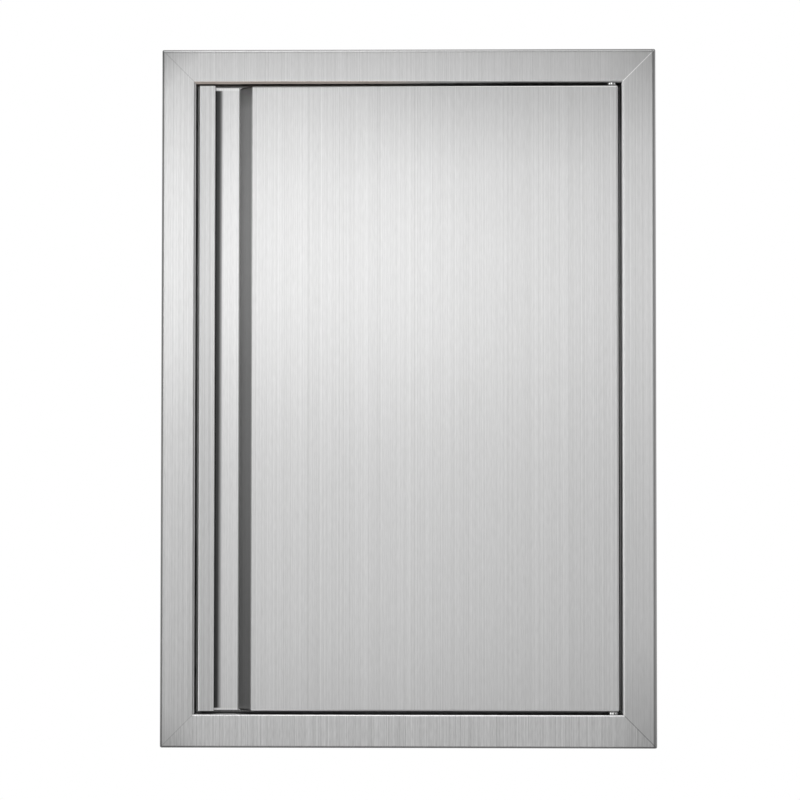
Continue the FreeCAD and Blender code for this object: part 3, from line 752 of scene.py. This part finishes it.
def smallMetal(name, tone, tint, roughness, mark, depth, welded=False):
    material, start = newMaterial(name)
    x, y, z = coordinate(start, "Object")
    marks = noise(start, x / mark, y / mark, z / mark, detail=3.0, roughness=0.6)
    size = metalMarks["stain"]
    stain = noise(start, x / size, y / size, z / size)
    value = tone * (1 + depth * marks + metalMarks["stainShare"] * depth * stain)
    colour, height, rough = value.tint(tint), marks, roughness + metalMarks["roughness"] * marks
    if welded:
        acrossX = x - strikeWelds["x"]
        first, second = (abs(z) - place for place in strikeWelds["z"])
        away = ((first * first).smaller(second * second) + acrossX * acrossX).root()
        isBack = coordinate(start, "Normal")[1].above(*squarely)
        weld, heat = (away.below(*strikeWelds[part]) * isBack for part in ("weld", "heat"))
        value = value * (1 - strikeWelds["shade"] * weld)
        straw = value.tint(strikeWelds["straw"])
        colour = (strikeWelds["strawShare"] * heat).blendColour(value.tint(tint), straw)
        height = marks - strikeWelds["sink"] * weld
        rough = rough + strikeWelds["roughness"] * weld
    changing = {
        "Base Color": colour,
        "Roughness": rough,
        "Normal": bumped(start, height, *metalMarks["bump"]),
    }
    finishMaterial(start, changing, {"Metallic": 1.0})
    return material


# the moulded pieces
mouldings = {
    "catchPlastic": {
        "colour": (0.035, 0.035, 0.038), "roughness": 0.5, "texture": 0.0004, "depth": 0.15,
    },
    "bushingPlastic": {
        "colour": (0.30, 0.30, 0.29), "roughness": 0.42, "texture": 0.0006, "depth": 0.04,
    },
    "bumperRubber": {
        "colour": (0.03, 0.03, 0.03), "roughness": 0.7, "texture": 0.0003, "depth": 0.2,
    },
}

mouldMarks = {
    "shade": 1 / 40,  # its size in metres
    "shadeDepth": 0.12,
    "pebbleDepth": 0.1,
    "height": 0.0002,
    "specular": 0.45,
}


def moulded(name, colour, roughness, texture, depth):
    material, start = newMaterial(name)
    x, y, z = coordinate(start, "Object")
    size, pebbleDepth = mouldMarks["shade"], mouldMarks["pebbleDepth"]
    pebble = noise(start, x / texture, y / texture, z / texture)
    shade = noise(start, x / size, y / size, z / size)
    value = 1 + mouldMarks["shadeDepth"] * shade + pebbleDepth * pebble
    changing = {
        "Base Color": value.tint(colour),
        "Roughness": roughness + pebbleDepth * pebble,
        "Normal": bumped(start, pebble, depth, mouldMarks["height"]),
    }
    constant = {"Metallic": 0.0, "Specular IOR Level": mouldMarks["specular"]}
    finishMaterial(start, changing, constant)
    return material


finishes = {
    "frame_stile_left": "frameSheet",
    "frame_stile_right": "frameSheet",
    "frame_rail_top": "frameSheet",
    "frame_rail_bottom": "frameSheet",
    "door_skin": "doorSheet",
    "door_liner": "linerSheet",
    "door_stiffener": "linerSheet",
    "pivot_plate_top": "zincPlate",
    "pivot_plate_bottom": "zincPlate",
    "pin_lock_nuts": "zincPlate",
    "catch_pole_plates": "zincPlate",
    "catch_rivets": "zincPlate",
    "strike_plate_upper": "strikeSteel",
    "strike_plate_lower": "strikeSteel",
    "hinge_pin_top": "brightSteel",
    "hinge_pin_bottom": "brightSteel",
    "hinge_washer_top": "washerSteel",
    "hinge_washer_bottom": "washerSteel",
    "hinge_block_top": "blockAluminium",
    "hinge_block_bottom": "blockAluminium",
    "catch_housing_upper": "catchPlastic",
    "catch_housing_lower": "catchPlastic",
    "catch_magnets": "darkFerrite",
    "hinge_bushing_top": "bushingPlastic",
    "hinge_bushing_bottom": "bushingPlastic",
    "ledge_bumpers": "bumperRubber",
}

makers = (frameSheet, doorSheet, linerSheet, washerSteel)
materials = {make.__name__: make(make.__name__) for make in makers}
materials.update({name: smallMetal(name, **look) for name, look in smallMetals.items()})
materials.update({name: moulded(name, **look) for name, look in mouldings.items()})
print("materials made:", len(materials))

for nodeName, finishName in finishes.items():
    for slot in nodes[nodeName].material_slots:
        slot.material = materials[finishName]
print("finishes given to", len(finishes), "nodes")


# a pale paper floor that fades out into the white
floorLook = {
    "height": -0.55,
    "radius": 1.7,
    "fadeFrom": 0.8,
    "rings": 8,
    "spokes": 48,
    "tone": 0.8,
    "mottle": (1 / 30, 0.02),  # size in metres, and depth
}


def floorMesh():
    rings, spokes, height = floorLook["rings"], floorLook["spokes"], floorLook["height"]
    vertices = [(0.0, 0.0, height)]
    for ring in range(1, rings + 1):
        radius = floorLook["radius"] * ring / rings
        for spoke in range(spokes):
            turn = math.tau * spoke / spokes
            vertices.append((radius * math.cos(turn), radius * math.sin(turn), height))
    faces = [(0, 1 + i, 1 + (i + 1) % spokes) for i in range(spokes)]
    for ring in range(rings - 1):
        inner, outer = 1 + ring * spokes, 1 + (ring + 1) * spokes
        for i in range(spokes):
            j = (i + 1) % spokes
            faces.append((inner + i, outer + i, outer + j, inner + j))
    mesh = bpy.data.meshes.new("floor")
    mesh.from_pydata(vertices, [], faces)
    return mesh


def floorPaper(name):
    material, start = newMaterial(name)
    x, y, z = coordinate(start, "Object")
    away = (x * x + y * y).root()
    fade = away.above(floorLook["fadeFrom"], floorLook["radius"] - floorLook["fadeFrom"])
    size, depth = floorLook["mottle"]
    mottle = noise(start, x / size, y / size, z, detail=3.0)
    colour = (floorLook["tone"] * (1 + depth * mottle)).grey()
    paper = start.add("ShaderNodeBsdfDiffuse", None, {"Color": colour})
    clear = start.add("ShaderNodeBsdfTransparent")
    mixed = start.add("ShaderNodeMixShader", None, {0: fade, 1: paper, 2: clear})
    start.add("ShaderNodeOutputMaterial", None, {"Surface": mixed})
    return material


def makeFloor():
    mesh = floorMesh()
    mesh.materials.append(floorPaper("floorPaper"))
    floor = bpy.data.objects.new("floor", mesh)
    bpy.context.scene.collection.objects.link(floor)


# a white room, brighter from above, that the metal reflects
room = {
    "backdrop": 1.0,  # what the camera sees
    "diffuse": 0.75,
    "sides": 0.62,
    # the brightness towards each other way, and the mask of where it takes over
    "front": (0.40, (0.5, 0.4)),
    "above": (0.9, (0.4, 0.4)),
    "below": (0.3, (0.3, 0.4)),
    "behind": (1.0, (-0.1, 0.4)),
}


def makeWorld():
    studio = bpy.data.worlds.new("studio")
    bpy.context.scene.world = studio
    studio.use_nodes = True
    studio.node_tree.nodes.clear()
    start = Signal(studio.node_tree)
    _, y, z = coordinate(start, "Generated")
    walls = room["sides"]
    for name, towards in (("front", -y), ("above", z), ("below", -z), ("behind", y)):
        brightness, place = room[name]
        walls = walls + towards.above(*place) * (brightness - walls)
    path = start.add("ShaderNodeLightPath").socket.node.outputs
    isCamera, isGlossy, isTransmission = (
        Signal(start.tree, path[name])
        for name in ("Is Camera Ray", "Is Glossy Ray", "Is Transmission Ray")
    )
    level = isGlossy * walls + (1 - isGlossy) * room["diffuse"]
    level = level + isCamera.larger(isTransmission) * (room["backdrop"] - level)
    inputs = {"Color": (1.0, 1.0, 1.0, 1.0), "Strength": level}
    background = start.add("ShaderNodeBackground", None, inputs)
    start.add("ShaderNodeOutputWorld", None, {"Surface": background})


lamps = {
    # place, aim, width, height and brightness
    "keySoftbox": ((-0.25, -2.6, 0.42), (0, 0, 0), 0.70, 0.50, 3.45),
    "lowSoftbox": ((-0.15, -2.6, -0.15), (0, 0, 0), 0.70, 0.70, 1.55),
    "overheadSoftbox": ((0.0, -1.2, 1.7), (0, 0, 0), 1.6, 0.7, 2.2),
    "leftSoftbox": ((-2.2, -0.9, 0.1), (0, 0, 0), 0.9, 1.5, 1.6),
}


def aimed(place, target):
    # a rotation that points an object's own -Z at the target, with +Y up
    return (Vector(target) - Vector(place)).to_track_quat("-Z", "Y").to_matrix().to_4x4()


def makeLamps():
    for name, (place, target, width, height, brightness) in lamps.items():
        light = bpy.data.lights.new(name, "AREA")
        light.shape = "RECTANGLE"
        light.size, light.size_y = width, height
        light.energy = brightness * math.pi * width * height
        lamp = bpy.data.objects.new(name, light)
        lamp.matrix_world = Matrix.Translation(place) @ aimed(place, target)
        lamp.visible_camera = False
        bpy.context.scene.collection.objects.link(lamp)


view = {
    "place": (0.0395, -2.5, -0.0955),
    "pitch": 2.146,  # degrees
    "yaw": 1.078,
    "roll": 0.038,
    "focalPixels": 2850.3,
    "widthPixels": 800,
    "sensor": 36.0,
}


def makeCamera():
    pitch, yaw, roll = (math.radians(view[name]) for name in ("pitch", "yaw", "roll"))
    level = math.cos(pitch)
    ahead = Vector((-math.sin(yaw) * level, math.cos(yaw) * level, math.sin(pitch)))
    right = Vector((math.cos(yaw), math.sin(yaw), 0.0))
    up = right.cross(ahead)
    right, up = (
        math.cos(roll) * right + math.sin(roll) * up,
        math.cos(roll) * up - math.sin(roll) * right,
    )
    lens = bpy.data.cameras.new("camera")
    lens.sensor_width = view["sensor"]
    lens.lens = view["focalPixels"] / view["widthPixels"] * view["sensor"]
    camera = bpy.data.objects.new("camera", lens)
    turn = Matrix((right, up, -ahead)).transposed().to_4x4()
    camera.matrix_world = Matrix.Translation(view["place"]) @ turn
    bpy.context.scene.collection.objects.link(camera)
    bpy.context.scene.camera = camera


makeFloor()
makeWorld()
makeLamps()
makeCamera()
bpy.context.scene.view_settings.view_transform = "Standard"
print("floor, world, lamps and camera made")
